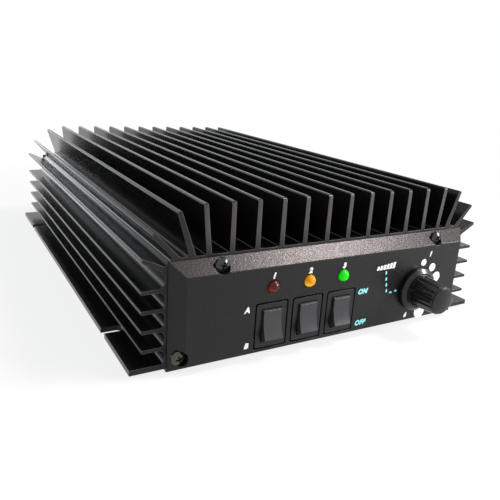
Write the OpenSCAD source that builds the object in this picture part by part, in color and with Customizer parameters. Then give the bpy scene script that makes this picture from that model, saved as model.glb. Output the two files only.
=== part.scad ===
// Linear amplifier in a finned aluminium extrusion, in millimetres.
// The front faces -Y, +Z is up, and the origin is under the middle of the whole part.

/* [Heat sink] */
// Width over the two side walls
body_w = 144.6; // [132:0.2:176]
// Length of the extrusion
sink_l = 225; // [180:1:280]
// Height of the fin tips above the underside of the flanges
sink_h = 59.8; // [54:0.2:72]
// Height of the deck's top above the underside of the flanges
deck_z = 41.3; // [40.8:0.1:50]
// Thickness of the deck
deck_t = 5.5; // [4.8:0.1:7]
// Thickness of the side walls
wall_t = 4; // [3.2:0.1:5]
// How far each mounting flange reaches past its side wall
flange_reach = 12.7; // [11:0.1:20]
// Thickness of the flanges
flange_t = 2.1; // [1.8:0.1:3]
// Spacing of the upright fins
fin_pitch = 10.46; // [8.6:0.02:13]
// Thickness of a fin at its tip
fin_t = 1.7; // [1.4:0.1:2.2]
// Thickness of a fin at its root
fin_root_t = 2; // [1.6:0.1:2.6]
// Rounding of a fin's tip
fin_tip_r = 0.45; // [0.2:0.05:0.5]
// Spacing of the level fins on the sides
side_fin_pitch = 7.32; // [6.4:0.02:7.6]
// Height of the lowest level fin above the underside of the flanges
side_fin_first = 8.25; // [6.8:0.05:8.6]
// How far the level fins reach past their side wall
side_fin_reach = 8.5; // [6:0.1:10]
// Thickness of a level fin
side_fin_t = 1.3; // [1.2:0.1:2]
// Fillet where an upright fin meets the deck
root_fillet = 0.5; // [0.3:0.1:1.2]
// Fillet where a level fin meets the side wall
side_fillet = 1.8; // [0.6:0.1:2]
// Rounding of the fin corners at the sawn ends
end_round = 1.2; // [0.5:0.1:2]

/* [Mounting slots] */
// Width of a slot
slot_w = 5; // [4.4:0.1:6.5]
// How far a slot reaches in from the flange's edge
slot_reach = 8; // [6:0.1:10]
// Distance of a slot's middle from the end of the extrusion
slot_inset = 33.5; // [15:0.5:60]

/* [Panels and cover] */
// Thickness of the bottom cover
cover_t = 1.5; // [1:0.1:2.5]
// Depth of the front panel
panel_t = 5.5; // [5:0.1:7]
// Thickness of the front panel's wall behind its face
panel_wall = 2.2; // [1.8:0.1:3]
// How far the panels stop below the deck's top
panel_drop = 0.8; // [0.2:0.1:1.2]
// How far the panels reach below the flanges' underside
panel_lap = 0.5; // [0:0.1:1]
// How far the front panel's top bevel comes down
top_bevel = 4.7; // [3:0.1:6]
// How far the front panel's side bevels come in
side_bevel = 4.9; // [3:0.1:6]
// How far the front panel's bottom bevel comes up
bottom_bevel = 2.5; // [1:0.1:3]
// Thickness of the rear panel
rear_t = 2; // [1.5:0.1:3]

/* [Switches and lamps] */
// Place of the left switch, from the middle of the panel
switch_x = -31.9; // [-36:0.1:-28]
// Spacing of the switches and of the lamps above them
switch_pitch = 16.3; // [15.8:0.1:18]
// Width of a switch opening in the panel
switch_w = 14.4; // [11.4:0.1:14.5]
// Height of a switch opening in the panel
switch_h = 18.9; // [15.6:0.1:19.4]
// Width of a switch's frame beside its rocker
frame_side = 2.3; // [1.6:0.05:2.6]
// Width of a switch's frame above and below its rocker
frame_end = 2; // [1.4:0.1:2.4]
// Angle by which a rocker rests to either side of level
rocker_tilt = 10; // [7:1:12]
// Diameter of a lamp
led_d = 4.8; // [3:0.1:5]
// Distance of the lamps' middle from the switch openings below them
led_gap = 5.95; // [4:0.05:7]

/* [Selector and knob] */
// Place of the knob, from the middle of the panel
knob_x = 42.1; // [38:0.1:46]
// Height of the knob above the panel's lower edge
knob_z = 17; // [15:0.1:20]
// Diameter of the knob's skirt
skirt_d = 19.2; // [18:0.1:22]
// Diameter of the knob's grip at the skirt
grip_d = 14.4; // [13.6:0.1:16]
// Length of the knob
knob_l = 16; // [14:0.1:20]
// Diameter of the selector's shaft
shaft_d = 6; // [4:0.1:6.35]

/* [Circuit boards] */
// Thickness of the circuit boards
board_t = 1.6; // [1:0.1:2.4]
// Length of the standoffs that hang the main board from the deck
standoff_l = 8; // [7.6:0.1:10]
// Gap between the front panel's seat and the control board
control_gap = 13; // [12:0.1:16]

/* [Rear connectors] */
// Diameter of the coaxial sockets' thread
coax_d = 15.88; // [13.2:0.01:16]
// Diameter of the coaxial sockets' centre contact bore
contact_bore_d = 4; // [2:0.1:4.2]
// How far the coaxial sockets stand out of the rear panel
coax_l = 19; // [14:0.1:24]

/* [Hidden] */

$fn = 48;
eps = 0.01;          // overlap that makes cuts run clean through
fit = 0.05;          // radial clearance of a shaft in its bearing
slip = 0.15;         // clearance round a pin or screw that passes through a plate
seam = 0.3;          // gap between a moving piece and its frame

black = [0.09, 0.09, 0.10];
panel_black = [0.17, 0.17, 0.17];
plastic_black = [0.12, 0.12, 0.13];
nickel = [0.72, 0.70, 0.64];
copper = [0.72, 0.45, 0.25];
board_green = [0.10, 0.32, 0.18];

// Overall places
knob_gap = 0.3;                                  // between the panel's face and the skirt
front_reach = panel_t + knob_gap + knob_l;       // from the sawn front to the knob's tip
rear_reach = rear_t + coax_l;                    // from the sawn rear to the sockets' tips
front_y = -sink_l / 2 + (front_reach - rear_reach) / 2;
rear_y = front_y + sink_l;
sink_z = cover_t;                                // the flanges' underside, on the cover
deck_top = sink_z + deck_z;
ceiling_z = deck_top - deck_t;
cavity_w = body_w - 2 * wall_t;
corner_r = 5.3;                                  // outer corner between deck and wall
ledge_w = 8.3;                                   // inner lip that takes the cover's screws

// Self-tapping screws in ports that run the length of the extrusion
port_d = 2.5;
port_boss_r = 2.9;
port_top_x = body_w / 2 - 19.8;
port_top_z = deck_top - port_boss_r - 0.2;       // its boss just clears the deck's top
port_low_x = body_w / 2 - wall_t;
port_low_z = sink_z + 5.2;
port_points = [
    [-port_top_x, port_top_z], [port_top_x, port_top_z],
    [-port_low_x, port_low_z], [port_low_x, port_low_z]
];
screw_d = 2.9;
head_d = 5.4;
head_h = 2.2;
head_dome_r = 4;
head_gap = 0.3;                                  // round a screw's head in the panel
cross_l = 2.7;                                   // across a screw's cross recess
cross_w = 0.75;
cross_d = 1.3;
screw_bite = 9;                                  // how far a screw reaches into its port

screw_turns = [75, 30, 15, 60];                  // how each screw's recess ended up

// Front panel
panel_w = body_w - 1.6;
panel_z = sink_z - panel_lap;                    // the panel covers the cover's front edge
panel_h = deck_z - panel_drop + panel_lap;
face_y = front_y - panel_t;
pocket_d = panel_t - panel_wall;
pocket_w = panel_w - 20;
pocket_low = 3.1;
pocket_high = 7.6;
screw_seat = 2.4;                                // thickness under a screw's head

// ---------------------------------------------------------------- placing

// Turns +Z to the front, from the sawn front end
module at_front(x, z) {
    translate([x, front_y, z]) rotate([90, 0, 0]) children();
}

// Turns +Z to the rear, from the sawn rear end
module at_rear(x, z) {
    translate([x, rear_y, z]) rotate([-90, 0, 0]) children();
}

// Extrudes a (y, z) outline along X, centred
module along_x(w) {
    rotate([90, 0, 90]) linear_extrude(height = w, center = true) children();
}

module box(size, at) {
    translate([at[0] - size[0] / 2, at[1] - size[1] / 2, at[2]]) cube(size);
}

module rounded_rect(w, h, r) {
    square([w - 2 * r, h], center = true);
    square([w, h - 2 * r], center = true);
    for (x = [-1, 1], y = [-1, 1]) translate([x * (w / 2 - r), y * (h / 2 - r)]) circle(r, $fn = 32);
}

// ---------------------------------------------------------------- heat sink

// A tapered fin from root to tip, in the profile's plane, with its tip's corners rounded
module fin(root, tip, root_t, tip_t) {
    along = (tip - root) / norm(tip - root);
    across = [-along[1], along[0]];
    shoulder = tip_t / 2 - fin_tip_r;
    end = tip - along * fin_tip_r;
    polygon(concat(
        [root + across * root_t / 2],
        [for (a = [0:30:90]) end + across * (shoulder + fin_tip_r * cos(a)) + along * fin_tip_r * sin(a)],
        [for (a = [90:30:180]) end - across * (shoulder - fin_tip_r * cos(a)) + along * fin_tip_r * sin(a)],
        [root - across * root_t / 2]
    ));
}

// Upright fins over the deck, from its middle to the last before the leaning pair
lean_inset = 16.4;                               // root of the first leaning fin, from the wall
half_fins = floor((body_w / 2 - lean_inset) / fin_pitch - 0.2);
fin_sink = 2;                                    // how deep a fin's root lies in the body

module deck_fins() {
    for (k = [0:half_fins - 1]) {
        x = (k + 0.5) * fin_pitch;
        fin([x, deck_z - fin_sink], [x, sink_h], fin_root_t, fin_t);
    }
    // two fins that lean out more and more towards the corner
    edge = body_w / 2;
    fin([edge - lean_inset, deck_z - fin_sink], [edge - 14.4, sink_h - 0.2], fin_root_t, fin_t);
    fin([edge - 10.7, deck_z - fin_sink], [edge - 4.8, sink_h - 2.3], fin_root_t + 0.4, fin_t);
}

// Two fins that splay out of the rounded corner, the upper one first
splay_roots = [[body_w / 2 - 5.6, deck_z - 1.7], [body_w / 2 - 2.1, deck_z - 4.8]];
splay_tips = [[body_w / 2 + 4.2, deck_z + 9.2], [body_w / 2 + 8.1, deck_z + 0.4]];
splay_root_t = 2.2;
splay_tip_t = 1.4;

module corner_fins() {
    for (k = [0, 1]) fin(splay_roots[k], splay_tips[k], splay_root_t, splay_tip_t);
}

// Level fins down the side wall
splay_room = 8;                                  // kept free of level fins below the deck's top
side_fins = floor((deck_z - splay_room - side_fin_first) / side_fin_pitch) + 1;
side_fin_top = side_fin_first + (side_fins - 1) * side_fin_pitch;

module wall_fins() {
    for (k = [0:side_fins - 1]) {
        z = side_fin_first + k * side_fin_pitch;
        fin([body_w / 2 - fin_sink, z], [body_w / 2 + side_fin_reach, z], side_fin_t + 0.2, side_fin_t);
    }
}

// Right half of the profile: deck, wall, corner, ledge, flange and fins
module half_profile() {
    edge = body_w / 2;
    translate([-eps, deck_z - deck_t]) square([edge - corner_r + eps, deck_t]);
    translate([edge - wall_t, 0]) square([wall_t, deck_z - corner_r]);
    translate([edge - corner_r, deck_z - corner_r]) circle(corner_r);
    translate([edge - wall_t - ledge_w, 0]) square([wall_t + ledge_w + flange_reach, flange_t]);
    translate([port_top_x, port_top_z - sink_z]) circle(port_boss_r);
    translate([port_low_x, port_low_z - sink_z]) circle(port_boss_r);
    deck_fins();
    corner_fins();
    wall_fins();
}

// Rounds the inner corners of a flat form
module filleted(r) {
    offset(r = -r, $fn = 24) offset(delta = r) children();
}

// Wider fillets in the hollows beside the wall and round the corner
corner_fillet = 1.5;
under_fillet = 2.6;                              // under the lower splayed fin

module side_hollows() {
    edge = body_w / 2;
    intersection() {
        filleted(side_fillet) half_profile();
        translate([edge - 1, flange_t / 2]) square([flange_reach, side_fin_top - flange_t / 2]);
    }
    intersection() {
        filleted(under_fillet) half_profile();
        polygon([
            [edge - 2, side_fin_top], [edge + side_fin_reach, side_fin_top],
            splay_tips[1], splay_roots[1]
        ]);
    }
    intersection() {
        filleted(corner_fillet) half_profile();
        polygon([
            splay_roots[1], splay_tips[1], splay_tips[0],
            [edge - 9, deck_z + 9], [edge - 9, deck_z - 2]
        ]);
    }
}

// The whole profile, with fillets in its inner corners
module sink_profile() {
    filleted(root_fillet) for (side = [0, 1]) mirror([side, 0]) {
        half_profile();
        side_hollows();
    }
}

// The corner above and beyond a quarter circle, which is cut off at the sawn ends
module end_corner() {
    difference() {
        square([end_round + 1, end_round + 1]);
        circle(end_round);
    }
}

module slots() {
    flange_edge = body_w / 2 + flange_reach;
    for (side = [-1, 1], y = [front_y + slot_inset, rear_y - slot_inset]) {
        inner = flange_edge - slot_reach + slot_w / 2;
        translate([side * inner, y, sink_z - 1]) cylinder(d = slot_w, h = flange_t + 2);
        box([slot_reach + 1, slot_w, flange_t + 2],
            [side * (inner + (slot_reach + 1) / 2), y, sink_z - 1]);
    }
}

module heatsink() {
    color(black) difference() {
        translate([0, rear_y, sink_z]) rotate([90, 0, 0]) linear_extrude(height = sink_l) sink_profile();
        for (p = port_points) translate([p[0], rear_y + 1, p[1]]) rotate([90, 0, 0])
            cylinder(d = port_d, h = sink_l + 2, $fn = 24);
        slots();
        for (x = cover_screw_xs, y = cover_screw_ys) translate([x, y, sink_z - 1])
            cylinder(d = port_d, h = flange_t + 2, $fn = 24);
        for (p = concat(standoff_points, clamp_points)) translate([p[0], p[1], ceiling_z - 1])
            cylinder(d = port_d, h = tap_depth + 1, $fn = 24);
        translate([0, front_y + end_round, sink_z + sink_h - end_round]) along_x(body_w + 40)
            mirror([1, 0]) end_corner();
        translate([0, rear_y - end_round, sink_z + sink_h - end_round]) along_x(body_w + 40)
            end_corner();
    }
}

// ---------------------------------------------------------------- bottom cover

cover_screw_xs = [-1, 1] * (body_w / 2 - wall_t - 4.6);
cover_screw_ys = [for (k = [0:3]) front_y + 14 + k * (sink_l - 28) / 3];
cover_head_d = 5.6;

module bottom_cover() {
    color(black) difference() {
        translate([-panel_w / 2, front_y, 0]) cube([panel_w, sink_l, cover_t]);
        for (x = cover_screw_xs, y = cover_screw_ys) translate([x, y, 0]) {
            translate([0, 0, -1]) cylinder(d = screw_d + 2 * slip, h = cover_t + 2, $fn = 24);
            translate([0, 0, -eps]) cylinder(d1 = cover_head_d + 0.2, d2 = screw_d, h = 1.4, $fn = 24);
        }
    }
}

module cover_screws() {
    color(black) for (x = cover_screw_xs, y = cover_screw_ys) translate([x, y, 0]) difference() {
        union() {
            cylinder(d1 = cover_head_d, d2 = screw_d - 0.2, h = 1.35, $fn = 24);
            cylinder(d = port_d - 0.1, h = cover_t + 4, $fn = 24);
        }
        for (a = [0, 90]) rotate([0, 0, a]) box([2.6, 0.6, 1.6], [0, 0, -1]);
    }
}

// ---------------------------------------------------------------- front panel

// The outer form: two crossed prisms give the mitred bevels
module panel_form() {
    intersection() {
        along_x(panel_w) polygon([
            [front_y, panel_z], [face_y, panel_z + bottom_bevel],
            [face_y, panel_z + panel_h - top_bevel], [front_y, panel_z + panel_h]
        ]);
        linear_extrude(height = 100) polygon([
            [-panel_w / 2, front_y], [-panel_w / 2 + side_bevel, face_y],
            [panel_w / 2 - side_bevel, face_y], [panel_w / 2, front_y]
        ]);
    }
}

// Switches stand on the pocket's lower edge, and the lamps follow their openings
flange_over = 0.4;                               // a housing's flange, past its opening
switch_z = panel_z + pocket_low + switch_h / 2 + flange_over + 0.15;
led_z = switch_z + switch_h / 2 + led_gap;
function switch_place(k) = [switch_x + k * switch_pitch, switch_z];
knob_place = [knob_x, panel_z + knob_z];
bushing_d = 9;

module front_panel() {
    color(panel_black) difference() {
        panel_form();
        translate([-pocket_w / 2, front_y - pocket_d, panel_z + pocket_low])
            cube([pocket_w, pocket_d + 1, panel_h - pocket_low - pocket_high]);
        for (k = [0:2]) {
            at_front(switch_place(k)[0], switch_place(k)[1])
                linear_extrude(height = panel_t + 1) rounded_rect(switch_w, switch_h, 1);
            at_front(switch_place(k)[0], led_z)
                cylinder(d = led_d + 2 * slip, h = panel_t + 1);
        }
        at_front(knob_place[0], knob_place[1]) cylinder(d = bushing_d + 2 * slip, h = panel_t + 1);
        for (p = port_points) at_front(p[0], p[1]) {
            translate([0, 0, -1]) cylinder(d = screw_d + 2 * slip, h = panel_t + 2, $fn = 24);
            translate([0, 0, screw_seat]) cylinder(d = head_d + 2 * head_gap, h = panel_t + 2);
        }
    }
}

// A pan head screw with a cross recess, its head's seat at height seat
module panel_screw(seat, turn) {
    difference() {
        union() {
            translate([0, 0, -screw_bite]) cylinder(d = port_d - 0.1, h = screw_bite + seat + 0.5, $fn = 24);
            translate([0, 0, seat]) intersection() {
                cylinder(d = head_d, h = head_h);
                translate([0, 0, head_h - head_dome_r]) sphere(head_dome_r);
            }
        }
        for (a = [0, 90]) rotate([0, 0, turn + a])
            box([cross_l, cross_w, 2 * cross_d], [0, 0, seat + head_h - cross_d]);
        translate([0, 0, seat + head_h - cross_d - 0.2]) cylinder(d = cross_l / 2, h = 2 * cross_d, $fn = 16);
    }
}

module front_screws_top() {
    color(black) for (k = [0, 1]) at_front(port_points[k][0], port_points[k][1])
        panel_screw(screw_seat, screw_turns[k]);
}

module front_screws_bottom() {
    color(nickel) for (k = [2, 3]) at_front(port_points[k][0], port_points[k][1])
        panel_screw(screw_seat, screw_turns[k]);
}

// ---------------------------------------------------------------- switches

collar_gap = 0.6;                                // between the collar and the panel's opening
rocker_gap = 0.4;                                // beside a rocker
rocker_seam = 0.2;                               // above and below a rocker
rocker_w = switch_w - 2 * (collar_gap + frame_side + rocker_gap);
rocker_r = switch_h / 2 - collar_gap - frame_end - rocker_seam;
housing_l = 9;                                   // from the panel's seat back to its end
pivot_depth = 1.5;                               // pivot behind the panel's face
pivot_r = 0.8;
pivot_l = rocker_w + 2 * (rocker_gap + 1);       // its ends run 1 mm into the frame
rocker_face = 0.54 * rocker_r;                   // rocker's end corners above the pivot
rocker_back = 2.6;                               // how deep a rocker reaches behind its pivot
dish_r = 20;                                     // radius of the rocker's hollow face

pivot_y = face_y + pivot_depth;

// Side view of a level rocker about its pivot, front to -X
module rocker_outline() {
    half_face_sq = rocker_r * rocker_r - rocker_face * rocker_face;
    dish = rocker_face - (dish_r - sqrt(dish_r * dish_r - half_face_sq));
    difference() {
        circle(rocker_r);
        translate([-rocker_r - rocker_face, -rocker_r]) square([rocker_r, 2 * rocker_r]);
        translate([-dish - dish_r, 0]) circle(dish_r, $fn = 160);
        translate([rocker_back, -rocker_r]) square([rocker_r, 2 * rocker_r]);
    }
}

module rocker(k) {
    p = switch_place(k);
    color(plastic_black) translate([p[0], pivot_y, p[1]]) rotate([-rocker_tilt, 0, 0]) {
        along_x(rocker_w) rocker_outline();
        rotate([0, 90, 0]) cylinder(r = pivot_r, h = pivot_l, center = true, $fn = 32);
    }
}

// The frame that holds one rocker: a collar in the panel, a flange behind it, and the body
module switch_housing(k) {
    p = switch_place(k);
    well_h = 2 * (rocker_r + rocker_seam);
    well_w = rocker_w + 2 * rocker_gap;
    well_end = pivot_y + rocker_r + 0.6;
    color(plastic_black) difference() {
        at_front(p[0], p[1]) {
            linear_extrude(height = panel_t)
                rounded_rect(switch_w - 2 * collar_gap, switch_h - 2 * collar_gap, 0.8);
            linear_extrude(height = pocket_d) rounded_rect(switch_w + 1.2, switch_h + 2 * flange_over, 0.5);
            translate([0, 0, -housing_l]) linear_extrude(height = housing_l + 1)
                rounded_rect(switch_w - 1.4, switch_h - 1.4, 0.5);
        }
        translate([p[0] - well_w / 2, face_y - 2, p[1] - well_h / 2])
            cube([well_w, well_end - face_y + 2, well_h]);
        translate([p[0], pivot_y, p[1]]) rotate([0, 90, 0])
            cylinder(r = pivot_r + fit, h = pivot_l + 2 * slip, center = true, $fn = 32);
    }
}

pin_d = 1.2;
pin_past = 1.4;                                  // how far a pin stands out behind its board
control_y = front_y + control_gap;
switch_pin_zs = [-6, 0, 6];

module switch_pins() {
    color(nickel) for (k = [0:2], z = switch_pin_zs)
        translate([switch_place(k)[0], front_y + housing_l, switch_place(k)[1] + z]) rotate([-90, 0, 0])
            cylinder(d = pin_d, h = control_gap - housing_l + board_t + pin_past, $fn = 16);
}

// ---------------------------------------------------------------- lamps

led_rim = 0.5;                                   // rim at a lamp's foot, past its body
led_foot = 1.6;                                  // from the panel's seat forward to the lamp's foot
led_proud = 2;
led_lead_d = 0.6;

module led(k, tint) {
    r = led_d / 2;
    color(tint) at_front(switch_place(k)[0], led_z) translate([0, 0, led_foot]) {
        cylinder(r = r + led_rim, h = 1, $fn = 32);
        cylinder(r = r, h = panel_t + led_proud - led_foot - r);
        translate([0, 0, panel_t + led_proud - led_foot - r]) sphere(r);
    }
}

module led_leads() {
    color(nickel) for (k = [0:2], x = [-1.27, 1.27])
        translate([switch_place(k)[0] + x, front_y - led_foot, led_z]) rotate([-90, 0, 0])
            cylinder(d = led_lead_d, h = led_foot + control_gap + board_t + pin_past, $fn = 16);
}

// ---------------------------------------------------------------- selector and knob

selector_d = 25;
selector_l = 13.5;                               // depth of the selector's body
nut_h = 1.6;
nut_af = 12;
washer_h = 0.5;
washer_d = 14;
bushing_l = 6;                                   // past the panel's inner wall
shaft_in = 6;                                    // how far the shaft runs into the selector
selector_pin_count = 7;

// From the panel's inner wall: the body runs back, the bushing forward
module selector_body() {
    color([0.13, 0.15, 0.22]) at_front(knob_place[0], knob_place[1]) translate([0, 0, pocket_d])
        difference() {
            union() {
                translate([0, 0, -selector_l]) cylinder(d = selector_d, h = selector_l - 1.4, $fn = 64);
                translate([0, 0, -1.4]) cylinder(d = washer_d, h = 1.4);
                cylinder(d = bushing_d, h = bushing_l);
            }
            translate([0, 0, -shaft_in]) cylinder(d = shaft_d + 2 * fit, h = shaft_in + bushing_l + 1);
        }
}

module selector_washer() {
    color(nickel) at_front(knob_place[0], knob_place[1]) translate([0, 0, panel_t]) difference() {
        cylinder(d = washer_d, h = washer_h);
        translate([0, 0, -1]) cylinder(d = bushing_d + 2 * slip, h = washer_h + 2);
    }
}

module selector_nut() {
    color(nickel) at_front(knob_place[0], knob_place[1]) translate([0, 0, panel_t + washer_h]) difference() {
        cylinder(d = nut_af / cos(30), h = nut_h, $fn = 6);
        translate([0, 0, -1]) cylinder(d = bushing_d + 2 * fit, h = nut_h + 2);
    }
}

module selector_pins() {
    back = front_y - pocket_d + selector_l;
    color(nickel) for (k = [0:selector_pin_count - 1]) {
        a = 30 * (k - (selector_pin_count - 1) / 2);
        translate([knob_place[0] + 9 * sin(a), back, knob_place[1] + 9 * cos(a)]) rotate([-90, 0, 0])
            cylinder(d = pin_d, h = control_y - back + board_t + pin_past, $fn = 16);
    }
}

shaft_tip = knob_gap + 11;                       // past the panel's face

module selector_shaft() {
    color(nickel) at_front(knob_place[0], knob_place[1]) translate([0, 0, pocket_d - shaft_in + 0.2])
        cylinder(d = shaft_d, h = shaft_in - 0.2 + panel_wall + shaft_tip);
}

skirt_h = 3;
skirt_bevel = 1.2;
skirt_in = 1.6;                                  // how far the skirt's bevel comes in
grip_taper = 2;                                  // what the grip's diameter loses to its tip
tip_bevel = 0.5;
flute_count = 14;
flute_r = 1.5;
cap_d = grip_d - grip_taper - 2 * tip_bevel - 0.2;
cap_edge = 0.5;
cap_dome_r = 26;
cap_rise = cap_edge + cap_dome_r - sqrt(cap_dome_r * cap_dome_r - cap_d * cap_d / 4);
stem_d = 8;                                      // stem that holds the cap in the knob
stem_l = 1.4;
grip_l = knob_l - cap_rise - skirt_h;

// Bottom of the knob at height 0, in the knob's own place
module knob_grip() {
    tip_d = grip_d - grip_taper;
    difference() {
        union() {
            cylinder(d = skirt_d, h = skirt_h - skirt_bevel, $fn = 72);
            translate([0, 0, skirt_h - skirt_bevel])
                cylinder(d1 = skirt_d, d2 = skirt_d - 2 * skirt_in, h = skirt_bevel, $fn = 72);
            translate([0, 0, skirt_h - eps])
                cylinder(d1 = grip_d, d2 = tip_d, h = grip_l - tip_bevel + eps, $fn = 72);
            translate([0, 0, skirt_h + grip_l - tip_bevel])
                cylinder(d1 = tip_d, d2 = tip_d - 2 * tip_bevel, h = tip_bevel, $fn = 72);
        }
        lean = atan(grip_taper / 2 / grip_l);
        for (k = [0:flute_count - 1]) rotate([0, 0, (k + 0.5) * 360 / flute_count])
            translate([grip_d / 2 + flute_r * 0.72, 0, skirt_h + 0.9]) rotate([0, -lean, 0])
                cylinder(r = flute_r, h = knob_l, $fn = 24);
        translate([0, 0, -1]) cylinder(d = shaft_d + 0.06, h = shaft_tip - knob_gap + 1.05);
        translate([0, 0, -1]) cylinder(d = nut_af / cos(30) + 1, h = 1 + washer_h + nut_h + seam - knob_gap);
        translate([0, 0, -1]) cylinder(d = bushing_d + 0.6, h = 1 + bushing_l - panel_wall + seam - knob_gap);
        translate([0, 0, skirt_h + grip_l - stem_l - 0.1]) cylinder(d = stem_d + 0.1, h = 2 * stem_l);
    }
}

module on_knob() {
    at_front(knob_place[0], knob_place[1]) translate([0, 0, panel_t + knob_gap]) children();
}

module knob() {
    color(plastic_black) on_knob() knob_grip();
}

module knob_cap() {
    color([0.24, 0.24, 0.24]) on_knob() translate([0, 0, knob_l - cap_rise]) {
        intersection() {
            cylinder(d = cap_d, h = cap_rise);
            translate([0, 0, cap_rise - cap_dome_r]) sphere(cap_dome_r, $fn = 96);
        }
        translate([0, 0, -stem_l]) cylinder(d = stem_d, h = stem_l + eps);
    }
}

// ---------------------------------------------------------------- control board

control_x0 = switch_x - switch_w / 2 - 5.35;
control_x1 = knob_x + selector_d / 2 + 4.9;
control_z0 = panel_z + 3.2;
control_h = 29.6;

module control_board() {
    hole = 0.3;
    color(board_green) difference() {
        translate([control_x0, control_y, control_z0]) cube([control_x1 - control_x0, board_t, control_h]);
        for (k = [0:2]) {
            for (z = switch_pin_zs) translate([switch_place(k)[0], control_y - 1, switch_place(k)[1] + z])
                rotate([-90, 0, 0]) cylinder(d = pin_d + hole, h = board_t + 2, $fn = 16);
            for (x = [-1.27, 1.27]) translate([switch_place(k)[0] + x, control_y - 1, led_z])
                rotate([-90, 0, 0]) cylinder(d = led_lead_d + hole, h = board_t + 2, $fn = 16);
        }
        for (k = [0:selector_pin_count - 1]) {
            a = 30 * (k - (selector_pin_count - 1) / 2);
            translate([knob_place[0] + 9 * sin(a), control_y - 1, knob_place[1] + 9 * cos(a)])
                rotate([-90, 0, 0]) cylinder(d = pin_d + hole, h = board_t + 2, $fn = 16);
        }
    }
}

// ---------------------------------------------------------------- main board

main_w = cavity_w - 12;
main_y0 = front_y + 26;
main_y1 = rear_y - 20;
main_l = main_y1 - main_y0;
main_mid = (main_y0 + main_y1) / 2;
main_top = ceiling_z - standoff_l;
main_low = main_top - board_t;
tap_depth = 4;
standoff_inset = 18;                             // clears the screw ports' bosses
standoff_points = [
    for (x = [-1, 1] * (main_w / 2 - standoff_inset), y = [main_y0 + 6, main_mid, main_y1 - 6]) [x, y]
];

// The transistors' bank, over a window in the board
bank_y = main_mid - 28;
transistor_count = 4;
transistor_pitch = 16;
transistor_size = [10.2, 15.4, 4.4];
pad_t = 0.3;
clamp_size = [72, 10, 3];
clamp_shift = 3;                                 // from the bank's middle to the clamp's
clamp_points = [for (x = [-32, 0, 32]) [x, bank_y + clamp_shift]];
clamp_z = ceiling_z - pad_t - transistor_size[2] - clamp_size[2];
window_size = [clamp_size[0] + 6, 24];

module main_board() {
    color(board_green) difference() {
        box([main_w, main_l, board_t], [0, main_mid, main_low]);
        box([window_size[0], window_size[1], board_t + 2], [0, bank_y, main_low - 1]);
        for (p = standoff_points) translate([p[0], p[1], main_low - 1])
            cylinder(d = screw_d + 2 * slip, h = board_t + 2, $fn = 24);
    }
}

module board_standoffs() {
    color(nickel) for (p = standoff_points) translate([p[0], p[1], main_top]) difference() {
        cylinder(d = 5.5 / cos(30), h = standoff_l, $fn = 6);
        translate([0, 0, -1]) cylinder(d = screw_d + 2 * slip, h = standoff_l + 2, $fn = 24);
    }
}

// A pan head screw that points up, its head's seat at height 0
module rising_screw(length) {
    cylinder(d = port_d - 0.1, h = length, $fn = 24);
    difference() {
        translate([0, 0, -head_h]) cylinder(d1 = head_d - 1.4, d2 = head_d, h = head_h, $fn = 32);
        for (a = [0, 90]) rotate([0, 0, a]) box([2.6, 0.7, 1.5], [0, 0, -head_h - 0.5]);
    }
}

module board_screws() {
    color(nickel) for (p = standoff_points) translate([p[0], p[1], main_low])
        rising_screw(board_t + standoff_l + tap_depth - 0.5);
}

// Right-angle pins from the control board into the main board
link_count = 10;
link_x0 = -40;
link_z = main_low - 3;
link_y = main_y0 + 3;

module board_link() {
    color(nickel) for (k = [0:link_count - 1]) translate([link_x0 + k * 2.54, 0, 0]) {
        box([0.8, link_y - control_y - board_t, 0.8], [0, (link_y + control_y + board_t) / 2, link_z]);
        box([0.8, 0.8, main_low - link_z], [0, link_y - 0.4, link_z]);
    }
    color(black) box([link_count * 2.54, 2.5, 2.5],
        [link_x0 + (link_count - 1) * 1.27, control_y + board_t + 1.25, link_z - 0.85]);
}

// ---------------------------------------------------------------- transistors

bank_xs = [for (k = [0:transistor_count - 1]) (k - (transistor_count - 1) / 2) * transistor_pitch];

module thermal_pads() {
    color([0.75, 0.75, 0.78]) for (x = bank_xs)
        box([transistor_size[0] + 1.6, transistor_size[1] + 2, pad_t], [x, bank_y, ceiling_z - pad_t]);
}

module transistors() {
    z = ceiling_z - pad_t - transistor_size[2];
    color(black) for (x = bank_xs) {
        box([transistor_size[0], 9.4, transistor_size[2]], [x, bank_y + clamp_shift, z]);
        box([transistor_size[0], transistor_size[1], 1.3], [x, bank_y, z + transistor_size[2] - 1.3]);
        for (k = [-1:1]) {
            box([0.9, 6.3, 0.6], [x + k * 2.54, bank_y + 10.8, z + 1.6]);
            box([0.9, 0.6, z + 2.2 - main_top], [x + k * 2.54, bank_y + 13.8, main_top]);
        }
    }
}

module transistor_clamp() {
    color([0.75, 0.75, 0.77]) difference() {
        box(clamp_size, [0, bank_y + clamp_shift, clamp_z]);
        for (p = clamp_points) translate([p[0], p[1], clamp_z - 1])
            cylinder(d = screw_d + 2 * slip, h = clamp_size[2] + 2, $fn = 24);
    }
}

module clamp_screws() {
    color(nickel) for (p = clamp_points) translate([p[0], p[1], clamp_z])
        rising_screw(ceiling_z - clamp_z + tap_depth - 0.5);
}

// ---------------------------------------------------------------- parts under the main board

core_d = 14.5;
core_l = 32;
core_bore = 8;
core_y = main_mid + 12;

module output_transformer_cores() {
    color([0.22, 0.22, 0.24]) for (x = [-1, 1] * (core_d / 2 + 0.3))
        translate([x, core_y - core_l / 2, main_low - core_d / 2 - 0.8]) rotate([-90, 0, 0]) difference() {
            cylinder(d = core_d, h = core_l);
            translate([0, 0, -1]) cylinder(d = core_bore, h = core_l + 2);
        }
}

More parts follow.
